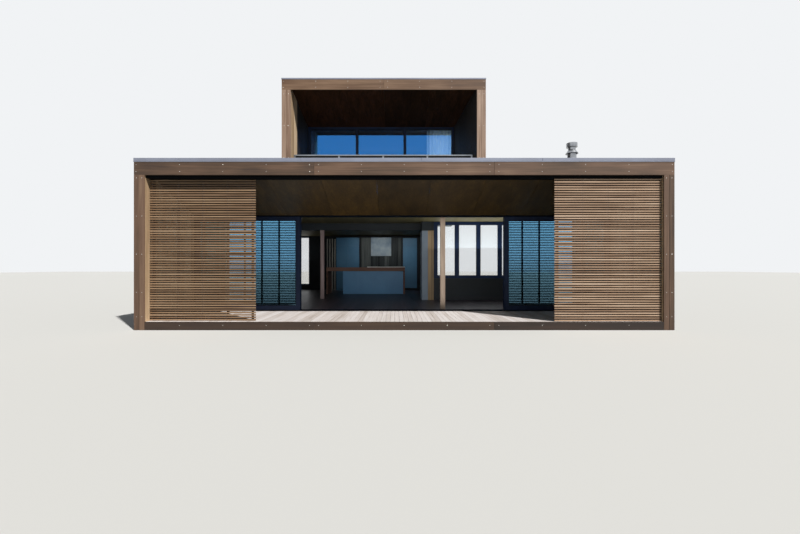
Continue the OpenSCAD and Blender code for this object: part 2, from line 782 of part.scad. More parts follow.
// The flue's pipe, its skirt on the roof, the sloping collar on its top, and its rain cap on a neck
module flue() color("silver") from_front() translate([half_w - flue_side, flue_d, 0])
rotate_extrude($fn = 64) {
    base_z = roof_z + roof_t;
    cap_z = flue_z - cowl_h;
    neck_z = cap_z - neck_h;
    collar_z = neck_z - collar_h;
    join_z = collar_z + collar_h * (collar_dia - flue_dia) / (collar_dia - neck_dia) - 2 * flue_wall;
    polygon([
        [flue_dia / 2 - flue_wall, base_z],
        [skirt_dia / 2, base_z],
        [flue_dia / 2, base_z + skirt_h],
        [flue_dia / 2, join_z],
        [collar_dia / 2, collar_z],
        [collar_dia / 2, collar_z + 2 * flue_wall],
        [neck_dia / 2, neck_z],
        [neck_dia / 2, cap_z],
        [cowl_dia / 2, cap_z],
        [cowl_dia / 2, flue_z - flue_wall],
        [0, flue_z],
        [0, flue_z - flue_wall],
        [neck_dia / 2 - flue_wall, flue_z - 2 * flue_wall],
        [neck_dia / 2 - flue_wall, neck_z - 2 * flue_wall],
        [flue_dia / 2 - flue_wall, join_z]
    ]);
}

ground_slab();
deck_joists();
deck();
front_plinth();
left_wall();
right_wall();
back_wall();
wing_wall();
dining_wall();
wall_nib();
window_frames();
window_glass();
pillar_boards();
fascia_boards();
fascia_beam();
roof_cap();
roof_deck();
verandah_soffit();
room_ceiling();
door_beam();
head_track();
left_screen();
right_screen();
door_frame();
fixed_panels();
fixed_glass();
left_door();
left_door_glass();
right_door();
right_door_glass();
front_post();
inner_post();
living_beam();
kitchen_island();
island_top();
tall_cupboards();
kitchen_lining();
kitchen_battens();
upper_floor();
upper_left_wall();
upper_right_wall();
upper_back_wall();
upper_boards();
upper_beams();
upper_cap();
upper_roof();
upper_soffit();
upper_ceiling();
upper_cheek();
upper_frames();
upper_glass();
curtain();
balustrade();
balustrade_glass();
flue();
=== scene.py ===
import math
import random

import bmesh
import bpy
from mathutils import Matrix, Vector


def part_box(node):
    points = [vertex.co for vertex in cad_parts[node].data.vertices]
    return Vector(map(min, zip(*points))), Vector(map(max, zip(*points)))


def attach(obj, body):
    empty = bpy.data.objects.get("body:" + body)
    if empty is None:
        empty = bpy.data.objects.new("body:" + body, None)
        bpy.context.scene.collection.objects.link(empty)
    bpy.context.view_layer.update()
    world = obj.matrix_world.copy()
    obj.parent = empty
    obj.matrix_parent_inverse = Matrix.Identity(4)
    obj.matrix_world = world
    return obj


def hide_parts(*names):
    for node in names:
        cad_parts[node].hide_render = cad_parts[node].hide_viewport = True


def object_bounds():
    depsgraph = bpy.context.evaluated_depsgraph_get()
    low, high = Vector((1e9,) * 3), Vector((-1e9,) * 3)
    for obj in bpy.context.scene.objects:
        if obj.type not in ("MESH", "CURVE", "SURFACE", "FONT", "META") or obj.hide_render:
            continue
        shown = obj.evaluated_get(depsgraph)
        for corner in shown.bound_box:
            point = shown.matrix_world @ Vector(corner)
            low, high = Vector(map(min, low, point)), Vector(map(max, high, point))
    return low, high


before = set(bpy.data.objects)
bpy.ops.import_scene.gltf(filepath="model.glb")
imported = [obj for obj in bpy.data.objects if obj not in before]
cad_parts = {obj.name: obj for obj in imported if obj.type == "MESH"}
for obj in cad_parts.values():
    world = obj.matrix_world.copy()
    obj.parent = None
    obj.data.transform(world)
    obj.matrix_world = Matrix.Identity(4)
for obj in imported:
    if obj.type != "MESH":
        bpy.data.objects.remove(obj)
cad_low, cad_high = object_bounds()
rng = random.Random(11)

# Where each direction of the house lies: across the front, back into it, and up
ACROSS, BACK, UP = 0, 1, 2
MM = 0.001

# The photograph's view, level and square to the front
PHOTO_WIDTH = 800
VANISHING_X = 395
LENS = 17.0
SENSOR = 36.0
EYE_BACK = 7.541
EYE_LEFT = 0.1835
EYE_HEIGHT = 1.261

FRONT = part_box("fascia_boards")[0].y
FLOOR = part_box("ground_slab")[1].z
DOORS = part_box("door_frame")[0].y
IN_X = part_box("deck")[1].x

# A screen's slats, from its lowest one up, and the battens behind them
SLATS, SLAT_HIGH, SLAT_DEEP = 59, 30 * MM, 20 * MM
BATTENS, BATTEN_WIDE = 5, 45 * MM
UNDER_TRACK, OVER_DECK = 12 * MM, 5 * MM
SCREEN_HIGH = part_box("head_track")[0].z - UNDER_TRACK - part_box("deck")[1].z - OVER_DECK
SLAT_PITCH = (SCREEN_HIGH - SLAT_HIGH) / (SLATS - 1)


def show(name, data):
    """A new object in the scene, at its origin."""
    thing = bpy.data.objects.new(name, data)
    bpy.context.scene.collection.objects.link(thing)
    return thing


def make_camera():
    data = bpy.data.cameras.new("camera")
    data.lens = LENS
    data.sensor_width = SENSOR
    data.shift_x = (PHOTO_WIDTH / 2 - VANISHING_X) / PHOTO_WIDTH
    data.clip_end = 200
    camera = show("camera", data)
    camera.location = (-EYE_LEFT, FRONT - EYE_BACK, EYE_HEIGHT)
    camera.rotation_euler = (math.radians(90), 0, 0)
    bpy.context.scene.camera = camera


def linear(hex_colour):
    """An sRGB hex colour as the linear RGBA that shaders take."""
    parts = [int(hex_colour[i:i + 2], 16) / 255 for i in (1, 3, 5)]
    return (*(p / 12.92 if p <= 0.04045 else ((p + 0.055) / 1.055) ** 2.4 for p in parts), 1.0)


def add(tree, kind, settings=None, links=None):
    """Adds a shader node, gives it its settings, and links sockets to its inputs."""
    node = tree.nodes.new("ShaderNode" + kind)
    for key, value in (settings or {}).items():
        if isinstance(key, str) and hasattr(node, key):
            setattr(node, key, value)
        else:
            node.inputs[key].default_value = value
    for key, socket in (links or {}).items():
        tree.links.new(socket, node.inputs[key])
    return node


def start(name, **surface):
    """A new material with one shader, whose steady values are set on its own sockets."""
    material = bpy.data.materials.new(name)
    material.use_nodes = True
    tree = material.node_tree
    tree.nodes.clear()
    shader = add(tree, "BsdfPrincipled", surface)
    add(tree, "OutputMaterial", links={"Surface": shader.outputs["BSDF"]})
    return material, tree, shader


def cover(tree, shader, pattern, colours, places, height=None, strength=0.0, depth=MM):
    """Colours a surface by one pattern, each hex colour at its place, and raises it by another."""
    colours = colours.split()
    scale = add(tree, "ValToRGB", links={"Fac": pattern})
    while len(scale.color_ramp.elements) < len(colours):
        scale.color_ramp.elements.new(0.5)
    for element, colour, place in zip(scale.color_ramp.elements, colours, places):
        element.position = place
        element.color = linear(colour)
    tree.links.new(scale.outputs["Color"], shader.inputs["Base Color"])
    if height:
        relief = add(tree, "Bump", {"Strength": strength, "Distance": depth}, {"Height": height})
        tree.links.new(relief.outputs["Normal"], shader.inputs["Normal"])


# A slat's row starts this far under it, in pitches, so that no row ends on a slat
ROW_START = 0.2
# A slat's eased edges, in pitches from its middle: where the shade painted along them begins, and where
# they end
EDGE_FROM, EDGE_TO = 0.2, 0.31
# How far the painted shade darkens a slat at its edges
EDGE_PAINTED_SHADE = 0.55
# The backs of the battens face the light, so the shade painted on them is much weaker there than on their
# sides
BACK_PAINTED_SHADE = 0.2


def slat_patterns(tree, screen):
    """On a screen the slats are told apart by height, each with a tone of its own. Shade is painted on too:
    the battens under the slats are darkened, all but their backs, and so is each slat along its eased
    edges."""
    low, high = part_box(screen)
    place = add(tree, "TexCoord").outputs["Object"]
    parts = add(tree, "SeparateXYZ", links={0: place}).outputs
    first = ROW_START - low.z / SLAT_PITCH
    row = add(tree, "Math", {"operation": "MULTIPLY_ADD", 1: 1 / SLAT_PITCH, 2: first},
              {0: parts["Z"]}).outputs[0]
    whole = add(tree, "Math", {"operation": "FLOOR"}, {0: row}).outputs[0]
    tone = add(tree, "TexWhiteNoise", {"noise_dimensions": "1D"}, {"W": whole}).outputs["Value"]
    # Painted shade on everything deeper than the slats, that is the battens, but less on their backs
    behind = add(tree, "Math", {"operation": "GREATER_THAN", 1: low.y + SLAT_DEEP + MM},
                 {0: parts["Y"]}).outputs[0]
    shade = add(tree, "MapRange",
                {"From Min": high.y - 2 * MM, "From Max": high.y, "To Min": 1.0, "To Max": BACK_PAINTED_SHADE},
                {"Value": parts["Y"]}).outputs[0]
    behind = add(tree, "Math", {"operation": "MULTIPLY"}, {0: behind, 1: shade}).outputs[0]
    share = add(tree, "Math", {"operation": "FRACT"}, {0: row}).outputs[0]
    middle = ROW_START + SLAT_HIGH / SLAT_PITCH / 2
    off = add(tree, "Math", {"operation": "SUBTRACT", 1: middle}, {0: share}).outputs[0]
    off = add(tree, "Math", {"operation": "ABSOLUTE"}, {0: off}).outputs[0]
    # Painted shade along each slat's eased edges
    edge = add(tree, "MapRange", {"From Min": EDGE_FROM, "From Max": EDGE_TO, "To Max": EDGE_PAINTED_SHADE},
               {"Value": off}).outputs[0]
    dark = add(tree, "Math", {"operation": "ADD"}, {0: behind, 1: edge}).outputs[0]
    return tone, dark


# How far each board's grain is moved, so that none runs on into the next
APART = (7.3, 5.1, 3.7)
# How much of a board's pattern comes from its fibres, and how much from its wider figure
FIBRES, FIGURE = 0.55, 0.45


def timber(name, colours, along, places=(0.25, 0.5, 0.8), grain=12 * MM, run=0.9, rough=0.62,
           gloss=0.5, tone=0.35, bump=0.25, blotch=0.3, screen=None):
    """Sawn timber: long grain, a tone for each board, and slow weather blotches. Real fibres lie
    about 1 mm apart, which is too fine to show, so they are drawn 10 to 30 mm apart."""
    material, tree, shader = start(name, **{"Roughness": rough, "Specular IOR Level": gloss})
    if screen:
        board, dark = slat_patterns(tree, screen)
    else:
        board = add(tree, "Attribute", {"attribute_name": "tone"}).outputs["Fac"]
    jump = add(tree, "VectorMath", {"operation": "SCALE", 0: APART}, {"Scale": board}).outputs[0]
    place = add(tree, "TexCoord").outputs["Object"]
    place = add(tree, "VectorMath", {"operation": "ADD"}, {0: place, 1: jump}).outputs[0]
    patterns = []
    for wide, long, kind in ((grain, run, {"Detail": 6.0, "Roughness": 0.62}),
                             (grain * 6, run * 1.4, {"Detail": 3.0, "Distortion": 0.6}),
                             (0.35, 1.1, {"Detail": 2.0})):
        scale = [1 / wide] * 3
        scale[along] = 1 / long
        spot = add(tree, "Mapping", {"Scale": scale}, {"Vector": place}).outputs["Vector"]
        noise = add(tree, "TexNoise", {"Scale": 1.0, **kind}, {"Vector": spot})
        patterns.append(noise.outputs["Fac"])
    fibres, figure, weather = patterns
    # The board's tone and the blotches lighten as much as they darken, so half of each comes off
    shares = [(fibres, FIBRES), (figure, FIGURE), (board, tone), (weather, blotch)]
    # On a screen, the painted shade of the battens and the slats' edges darkens the colour
    if screen:
        shares.append((dark, -1.0))
    mixed = None
    for pattern, share in shares:
        links = {0: pattern} if mixed is None else {0: pattern, 2: mixed}
        mixed = add(tree, "Math",
                    {"operation": "MULTIPLY_ADD", 1: share, 2: -(tone + blotch) / 2}, links).outputs[0]
    cover(tree, shader, mixed, colours, places, fibres, bump, 2 * MM)
    return material


# How many teeth of a finish lie across one of its blotches. Real ones are too fine to show
TEETH = 60
# Nearly all of a noise lies between these
NOISE_LOW, NOISE_HIGH = 0.3, 0.7


def mottled(name, colours, size, bump=0.1, **surface):
    """A finish with no grain: slow mottling over the whole surface and a fine tooth."""
    material, tree, shader = start(name, **surface)
    place = add(tree, "TexCoord").outputs["Object"]
    cloud = add(tree, "TexNoise", {"Scale": 1 / size, "Detail": 5.0, "Roughness": 0.6},
                {"Vector": place}).outputs["Fac"]
    tooth = add(tree, "TexNoise", {"Scale": TEETH / size, "Detail": 2.0},
                {"Vector": place}).outputs["Fac"]
    steps = colours.count(" ")
    places = [NOISE_LOW + (NOISE_HIGH - NOISE_LOW) * k / steps for k in range(steps + 1)]
    cover(tree, shader, cloud, colours, places, tooth, bump)
    return material


def coated_glass(name, colours, places, pane, alpha):
    """Solar control glass: a cool mirror outside that still lets the room show through.
    Its colour, given by height over the pane, is a painted reflection; on the doors it darkens towards the
    sill."""
    low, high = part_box(pane)
    material, tree, shader = start(name, Roughness=0.012, Metallic=1.0, Alpha=alpha)
    place = add(tree, "TexCoord").outputs["Object"]
    height = add(tree, "SeparateXYZ", links={0: place}).outputs["Z"]
    share = add(tree, "MapRange", {"From Min": low.z, "From Max": high.z}, {"Value": height})
    cover(tree, shader, share.outputs[0], colours, places)
    return material


def clear_glass(name, colour, alpha):
    """Float glass in thin sheets: hardly seen but for its sheen."""
    return start(name, **{"Base Color": linear(colour), "Roughness": 0.02, "Alpha": alpha})[0]


# Where larch and cedar take their colours, from the darkest grain to the palest
LARCH = (0.25, 0.42, 0.56, 0.75)
CEDAR = (0.0, 0.2, 0.42, 0.58, 0.8)
WEATHERED = "#403026 #5A4637 #6E5545 #886F5B"
VENEER = {"grain": 30 * MM, "run": 1.6}
MATT_PAINT = {"size": 0.8, "Roughness": 0.6}
SATIN_COAT = {"size": 0.3, "bump": 0.05, "Roughness": 0.5, "Specular IOR Level": 0.3}
MATT_COAT = {"size": 0.3, "bump": 0.05, "Roughness": 0.9, "Specular IOR Level": 0.1}
LACQUER = {"size": 0.8, "bump": 0.02, "Roughness": 0.35}

# One finish for each real material on the house
FINISH = {
    # Larch boards on the front frames, oiled and then weathered: brown with grey streaks
    "front_across": timber("weathered_larch_across", WEATHERED, ACROSS, LARCH, tone=0.3, blotch=0.6),
    "front_up": timber("weathered_larch_up", WEATHERED, UP, LARCH),
    # The upper frame's larch stands in full sun: paler, and silvered on its upright boards
    "upper_across": timber("sunlit_larch_across", "#4B3526 #674C37 #7D624C #957860", ACROSS,
                           LARCH, tone=0.12, blotch=0.6),
    "upper_up": timber("sunlit_larch_up", "#654E3F #876C59 #A48A78 #C2A894", UP, LARCH, tone=0.2),
    # The plinth's larch is damp near the ground, so it stays dark
    "plinth": timber("plinth_larch", "#231913 #362820 #49382C", ACROSS, (0.25, 0.5, 0.75)),
    # Inside the frames the same boards are sheltered, and keep a honey colour
    "reveal": timber("sheltered_larch", "#8E7456 #BCA181 #D8C09E", UP, (0.25, 0.45, 0.75)),
    # Deck boards bleached by the sun, with brown left in their grain
    "deck": timber("bleached_deck", "#A39890 #C6BEBA #D5CFCE #E3E0E0", BACK,
                   (0.2, 0.4, 0.55, 0.8), grain=10 * MM, tone=0.3, blotch=0.15),
    # Slats of oiled cedar: warm, and each one a little different. The rear screen's copy is darker, as
    # painted shade for its deeper shadow
    "slats": timber("oiled_cedar", "#312118 #7B5F49 #AB8C72 #CFB196 #EED3BB", ACROSS, CEDAR,
                    tone=0.3, screen="right_screen"),
    "rear_slats": timber("cedar_painted_shade", "#271910 #614A34 #896C51 #A5886B #BFA589", ACROSS,
                         CEDAR, tone=0.3, screen="left_screen"),
    # Stained ply under the verandah's roof: olive brown, with long veneer figure and a low sheen
    "soffit": timber("stained_ply", "#281E0D #46361A #695127", BACK, rough=0.5, tone=0.15,
                     bump=0.05, **VENEER),
    # The loggia's ply is stained darker and left matt, so that it takes no light
    "upper_soffit": timber("dark_stained_ply", "#1F140D #362418 #553726", BACK, rough=0.8,
                           gloss=0.1, bump=0.05, **VENEER),
    # Oiled ply on the room's ceiling, which catches the light near the windows
    "ceiling": timber("oiled_ply", "#47432D #676141 #7F7854", BACK, (0.3, 0.6, 0.8), rough=0.55,
                      bump=0.03, **VENEER),
    # Upright cladding, stained nearly black. The loggia's cheeks get a darker copy, painted shade for where
    # they stand out of the sun
    "cladding": timber("black_cladding", "#1B1715 #2E2824 #47403A", UP),
    "inner_cladding": timber("inner_cladding", "#0F0C0A #1B1714 #2A2420", UP),
    # Framing timber as it comes from the saw: brown and dull
    "framing": timber("sawn_framing", "#3A2C20 #5A4634", ACROSS, (0.3, 0.7)),
    # Planed fir posts: pale and silky in front, stained a greyed red inside
    "post": timber("planed_fir", "#9A8878 #BBA896 #D3C2B0", UP, grain=20 * MM),
    "red_post": timber("red_stained_fir", "#847272 #B4A2A1 #D3C4C4", UP),
    # Limed battens: the lime fills the grain and leaves them pale and cool
    "batten": timber("limed_battens", "#90918C #B7B8B2 #D3D4CD", UP),
    # Oiled boards round the island: red-brown
    "island_timber": timber("island_boards", "#4E3A30 #77594A #95766A", ACROSS),
    # Smoked boards behind the kitchen: grey-brown, and no two of one tone
    "kitchen_lining": timber("kitchen_boards", "#1D2325 #363D3F #585F5D", UP, tone=0.7),
    # Oiled oak on the wall block: straw brown
    "nib_timber": timber("oiled_oak", "#65553F #837056 #9C8768", UP),
    # Dark floorboards, lacquered, so they take a soft shine
    "floor": timber("dark_floorboards", "#16151B #242129 #383037", BACK, rough=0.4, bump=0.06),
    # Emulsion on the walls: flat, and nearly even
    "nib_paint": mottled("blue_white_paint", "#6E7C8B #7C8A99", **MATT_PAINT),
    "dark_lining": mottled("dark_painted_lining", "#171B1E #1E2328", **MATT_PAINT),
    "beam_paint": mottled("dark_beam_paint", "#1C242A #242D34", **MATT_PAINT),
    "pale_lining": mottled("pale_lining", "#B9B6B0 #C6C3BD", 0.8, Roughness=0.7),
    # Folded sheet on the parapets: baked enamel, a cool pale grey that dulls in patches
    "cap": mottled("enamelled_sheet", "#8C90A1 #9FA6B9", 0.9, bump=0.03, Roughness=0.38, Metallic=0.25),
    # Welded roofing felt: mid grey, and flat
    "membrane": mottled("roof_membrane", "#55585C #6C6F73", 1.4, Roughness=0.8),
    # Window and door sections: powder-coated aluminium, navy, with a fine tooth
    "aluminium": mottled("navy_powder_coat", "#0E1E3A #152A4C", **SATIN_COAT),
    # The track's coat is matt and nearly black. The door frame's is a darker, matt copy of the navy coat:
    # painted shade for its place under the verandah's roof
    "door_coat_painted_shade": mottled("matt_navy_coat_painted_shade", "#0B1420 #101B2A", **MATT_COAT),
    "track": mottled("black_powder_coat", "#0C0D0E #15161A", **MATT_COAT),
    # Rubber beads round the glass: black and dull
    "gasket": mottled("black_rubber", "#08090B #0E0F12", 0.1, Roughness=0.8),
    # Stainless screws, turned to a bright dome, and galvanised pins, gone dull and brown
    "screws": mottled("stainless_heads", "#C9C6C2 #E2DFDA", 0.1, 0.0, Roughness=0.3, Metallic=0.6),
    "pins": mottled("dull_pins", "#7C7066 #94877B", 0.1, 0.0, Roughness=0.6, Metallic=0.3),
    # Satin aluminium rails, with broad soft highlights
    "rail": mottled("satin_aluminium", "#8F9499 #A3A8AD", 0.2, 0.02, Roughness=0.32, Metallic=0.9),
    # Brushed stainless flue: a bright line down its side
    "flue": mottled("brushed_stainless", "#8A8D92 #B3B5B8", 0.15, 0.03, Roughness=0.28, Metallic=1.0),
    # Satin lacquer on the kitchen fronts: blue-grey. The island's copy is brighter and bluer: painted light
    # for the shade it stands in
    "lacquer": mottled("blue_grey_lacquer", "#426F91 #4C7D9E", **LACQUER),
    "island_lacquer": mottled("blue_lacquer_painted_light", "#5B94C5 #66A2D2", **LACQUER),
    # A honed stone worktop: white, with small clouds
    "stone": mottled("white_stone", "#E2E4E4 #F2F3F2", 0.12, 0.02, Roughness=0.3),
    # Bare canvas: a grey ground, rubbed on unevenly over the weave
    "canvas": mottled("bare_canvas", "#6E8190 #8A9BA6 #A2AEB2", 0.5, 0.15, Roughness=0.8),
    # Cast concrete: grey clouds as the form left them
    "concrete": mottled("cast_concrete", "#7D7B77 #94918C", 0.5, Roughness=0.85),
    # Coated glass in the doors and the upper windows, and plain glass in the rest. The coated glass's blue
    # is its coating, and its change with height is a painted reflection, lightest at the doors' heads
    "door_glass": coated_glass("door_glass", "#4E6E80 #6A98B0 #80C2EA #88D4FF",
                               (0.0, 0.35, 0.6, 1.0), "fixed_glass", 0.88),
    "upper_glass": coated_glass("upper_glass", "#3F98E8 #388BDF", (0.0, 1.0), "upper_glass", 0.44),
    "clear_glass": clear_glass("clear_glass", "#C9DCE4", 0.16),
    "rail_glass": clear_glass("rail_glass", "#AFC6D4", 0.14),
    # Sheer cloth: a pale open weave that light comes through
    "sheer": mottled("sheer_cloth", "#D8DEE3 #E9EEF2", 0.2, 0.05, Roughness=0.85),
}


def new_mesh():
    """An empty mesh in the making, with room for each board's own tone."""
    bm = bmesh.new()
    bm.faces.layers.float.new("tone")
    return bm


def block(bm, low, high, tone=0.5, material=0):
    """A plain block between two corners, as one board or plate of a larger piece."""
    layer = bm.faces.layers.float["tone"]
    size = [h - l for l, h in zip(low, high)]
    centre = [(l + h) / 2 for l, h in zip(low, high)]
    made = bmesh.ops.create_cube(
        bm, size=1.0, matrix=Matrix.Translation(centre) @ Matrix.Diagonal((*size, 1)))
    for face in {f for vert in made["verts"] for f in vert.link_faces}:
        face[layer] = tone
        face.material_index = material


def soften(bm, edge):
    """Eases every edge, as a planed board's are."""
    bmesh.ops.bevel(bm, geom=bm.edges[:], offset=edge, offset_type="OFFSET", affect="EDGES",
                    segments=1, profile=0.5, material=-1, clamp_overlap=True)


def settle(bm, name, finishes, replaces=(), edge=0.0, body="root"):
    """Turns the mesh in the making into a piece that rides on its body."""
    if edge:
        soften(bm, edge)
    mesh = bpy.data.meshes.new(name)
    bm.to_mesh(mesh)
    bm.free()
    for finish in finishes:
        mesh.materials.append(FINISH[finish])
    piece = show(name, mesh)
    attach(piece, body)
    if replaces:
        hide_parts(*replaces)
    return piece


def free_spans(low, high, blocked):
    """What is left of a span once the blocked ones are taken out."""
    spans = [(low, high)]
    for b0, b1 in blocked:
        parts = [part for s, t in spans for part in ((s, min(t, b0)), (max(s, b1), t))]
        spans = [(s, t) for s, t in parts if t - s > MM]
    return spans


# The last board of a run is never shorter than this share of a whole one
SHORTEST = 0.15


def butted(low, high, length, gap, first):
    """A run of boards end to end, with the first one cut short so that the joints stagger."""
    if not length or high - low <= length:
        return [(low, high)]
    ends = [low]
    place = low + length * first
    while place < high - length * SHORTEST:
        ends.append(place)
        place += length
    ends.append(high)
    last = len(ends) - 2
    return [(s + gap / 2 * (i > 0), t - gap / 2 * (i < last))
            for i, (s, t) in enumerate(zip(ends, ends[1:]))]


def lay_boards(bm, low, high, along, across, width, gap, holes=(), length=0, material=0):
    """Fills a flat layer with boards. A hole is (low, high) across and then (low, high) along."""
    count = max(1, round((high[across] - low[across]) / width))
    step = (high[across] - low[across]) / count
    for i in range(count):
        a = low[across] + i * step + gap / 2
        b = a + step - gap
        tone = rng.random()
        first = 0.3 + 0.6 * rng.random()
        cuts = sorted({a, b, *(e for hole in holes for e in hole[:2] if a < e < b)})
        for p, q in zip(cuts, cuts[1:]):
            blocked = [hole[2:] for hole in holes if hole[0] < (p + q) / 2 < hole[1]]
            for s, t in free_spans(low[along], high[along], blocked):
                for u, v in butted(s, t, length, gap, first):
                    corner0, corner1 = list(low), list(high)
                    corner0[across], corner1[across] = p, q
                    corner0[along], corner1[along] = u, v
                    block(bm, corner0, corner1, tone, material)


SCREW_R, SCREW_RISE = 7 * MM, 2 * MM
PIN_R, PIN_RISE = 4 * MM, MM


def screws(bm, columns, face, rows, radius=SCREW_R, height=SCREW_RISE):
    """Low domed heads in columns and rows, standing out of a face that looks to the front."""
    turn = Matrix.Rotation(math.radians(90), 4, "X")
    for x in columns:
        for z in rows:
            spot = Matrix.Translation((x, face - height / 2, z))
            bmesh.ops.create_cone(bm, cap_ends=True, segments=10, radius1=radius, radius2=radius * 0.55,
                                  depth=height, matrix=spot @ turn)


def across_pair(x0, x1):
    """The middles of two boards side by side."""
    return x0 + (x1 - x0) / 4, x0 + (x1 - x0) * 3 / 4


# Front frames: the boards' eased edges, and the open joints between them
EDGE = 2 * MM
JOINT = 3 * MM
# How far the end screws stand in from a joint, and from the frame's own end
SCREW_JOINT = 0.09
SCREW_END = 0.046
# The screws' rows: how far they are in from the top and the foot of the boards that lie across
FASCIA_TOP, FASCIA_FOOT = 0.074, 0.068
UPPER_TOP, UPPER_FOOT = 0.046, 0.055
PLINTH_TOP = 0.07
# On the upright boards: the first one down, the step from one to the next, and the lowest one's height
PILLAR_TOP, PILLAR_STEP, PILLAR_LAST = 0.06, 0.762, 0.269
UPPER_PILLAR_TOP, UPPER_PILLAR_STEP = 0.1, 0.757


def board_screws(low, high, boards, count):
    """Places along a run of equal boards, with the same number of screws in each."""
    length = (high - low) / boards
    places = []
    for k in range(boards):
        first = low + k * length + (SCREW_JOINT if k else SCREW_END)
        last = low + (k + 1) * length - (SCREW_END if k == boards - 1 else SCREW_JOINT)
        places += [first + j * (last - first) / (count - 1) for j in range(count)]
    return places


def end_to_end(bm, ends, foot, low, high, tones):
    """Boards that lie across, with open joints between them."""
    for x0, x1, tone in zip(ends, ends[1:], tones):
        block(bm, (x0 + JOINT / 2, low.y, foot), (x1 - JOINT / 2, high.y, high.z), tone)


def make_lower_frame():
    low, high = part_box("fascia_boards")
    heads = new_mesh()
    fascia = new_mesh()
    joints = [low.x + (high.x - low.x) * k / 3 for k in (1, 2)]
    end_to_end(fascia, [low.x, *joints, high.x], low.z, low, high, (0.2, 0.6, 0.5))
    columns = board_screws(low.x, high.x, 3, 5)
    screws(heads, columns, low.y, (low.z + FASCIA_FOOT, high.z - FASCIA_TOP))
    settle(fascia, "fascia", ["front_across"], ["fascia_boards"], EDGE)
    low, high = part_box("pillar_boards")
    pillars = new_mesh()
    for x0, x1 in ((low.x, -IN_X), (IN_X, high.x)):
        lay_boards(pillars, (x0, low.y, low.z), (x1, high.y, high.z), UP, ACROSS, (x1 - x0) / 2, JOINT)
        rows = [high.z - PILLAR_TOP - k * PILLAR_STEP for k in range(4)] + [PILLAR_LAST]
        screws(heads, across_pair(x0, x1), low.y, rows)
    settle(pillars, "pillars", ["front_up"], ["pillar_boards"], EDGE)
    low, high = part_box("front_plinth")
    plinth = new_mesh()
    tones = [rng.random() for _ in range(3)]
    end_to_end(plinth, [low.x, *joints, high.x], low.z, low, high, tones)
    screws(heads, [x for x in columns if low.x < x < high.x], low.y, [high.z - PLINTH_TOP])
    settle(plinth, "plinth", ["plinth"], ["front_plinth"], EDGE)
    settle(heads, "frame_screws", ["screws"])


def make_upper_frame():
    low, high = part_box("upper_boards")
    left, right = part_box("upper_left_wall")[1].x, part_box("upper_right_wall")[0].x
    opening = min(v.co.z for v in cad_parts["upper_boards"].data.vertices if v.co.z > low.z + 1)
    boards, heads = new_mesh(), new_mesh()
    tones = [rng.random() for _ in range(2)]
    end_to_end(boards, [low.x, (low.x + high.x) / 2, high.x], opening, low, high, tones)
    screws(heads, board_screws(low.x, high.x, 2, 4), low.y, (opening + UPPER_FOOT, high.z - UPPER_TOP))
    for x0, x1 in ((low.x, left), (right, high.x)):
        lay_boards(boards, (x0, low.y, low.z), (x1, high.y, opening), UP, ACROSS, (x1 - x0) / 2, JOINT,
                   material=1)
        rows = [opening - UPPER_PILLAR_TOP - k * UPPER_PILLAR_STEP for k in range(3)]
        screws(heads, across_pair(x0, x1), low.y, rows)
    settle(boards, "upper_frame", ["upper_across", "upper_up"], ["upper_boards"],
           EDGE)
    settle(heads, "upper_frame_screws", ["screws"])


# Walls: the cladding's thickness, the width of its boards and the gaps between them
CLAD = 18 * MM
CLAD_WIDTH = 0.14
CLAD_GAP = 4 * MM
# Wider than any wall, so that the core behind the cladding is one piece
WHOLE = 50


def make_wall(node, facing, out_side, lining, holes=(), inner=None, run_from=None):
    """Replaces a plain wall: a lined core with upright boards outside, and inside along a given stretch.
    facing is the axis that the wall looks along, and out_side is -1 or 1. inner is (low, high) along it.
    A hole is (low, high) along the wall and then (low, high) in height."""
    run = BACK if facing == ACROSS else ACROSS
    low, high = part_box(node)
    if run_from is not None:
        low[run] = run_from
    bm = new_mesh()
    outer_low, outer_high = list(low), list(high)
    core_low, core_high = list(low), list(high)
    if out_side > 0:
        outer_low[facing] = core_high[facing] = high[facing] - CLAD
    else:
        outer_high[facing] = core_low[facing] = low[facing] + CLAD
    lay_boards(bm, outer_low, outer_high, UP, run, CLAD_WIDTH, CLAD_GAP, holes)
    if facing == ACROSS:
        # The boards turn the corner at the wall's back end
        core_high[run] = high[run] - CLAD
        end_low, end_high = list(core_low), list(core_high)
        end_low[run], end_high[run] = core_high[run], high[run]
        lay_boards(bm, end_low, end_high, UP, facing, CLAD_WIDTH, CLAD_GAP)
    stretches = [(low[run], core_high[run], False)]
    if inner:
        s, t = inner
        stretches = [(low[run], s, False), (s, t, True), (t, core_high[run], False)]
    for s, t, clad in stretches:
        if t - s < MM:
            continue
        part_low, part_high = list(core_low), list(core_high)
        part_low[run], part_high[run] = s, t
        if clad:
            lining_low, lining_high = list(part_low), list(part_high)
            if out_side > 0:
                lining_high[facing] = part_low[facing] = low[facing] + CLAD
            else:
                lining_low[facing] = part_high[facing] = high[facing] - CLAD
            lay_boards(bm, lining_low, lining_high, UP, run, CLAD_WIDTH, CLAD_GAP, holes, material=2)
        lay_boards(bm, part_low, part_high, UP, run, WHOLE, 0, holes, material=1)
    settle(bm, node + "_boards", ["cladding", lining, "reveal"], [node])


def opening_of(node, keep):
    """The opening that a node's frame fills: its reach across and then in height."""
    corners = [v.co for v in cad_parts[node].data.vertices if keep(v.co)]
    return [pick(c[axis] for c in corners) for axis in (ACROSS, UP) for pick in (min, max)]


# The openings of the dining window, of the narrow one at the back, and of the upper back one
BACK_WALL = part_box("back_wall")[0].y
UPPER_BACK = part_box("upper_floor")[1].y
WIDE = opening_of("window_frames", lambda c: c.y < BACK_WALL - 1)
NARROW = opening_of("window_frames", lambda c: c.y > BACK_WALL)
SMALL = opening_of("upper_frames", lambda c: c.y > UPPER_BACK - 1)


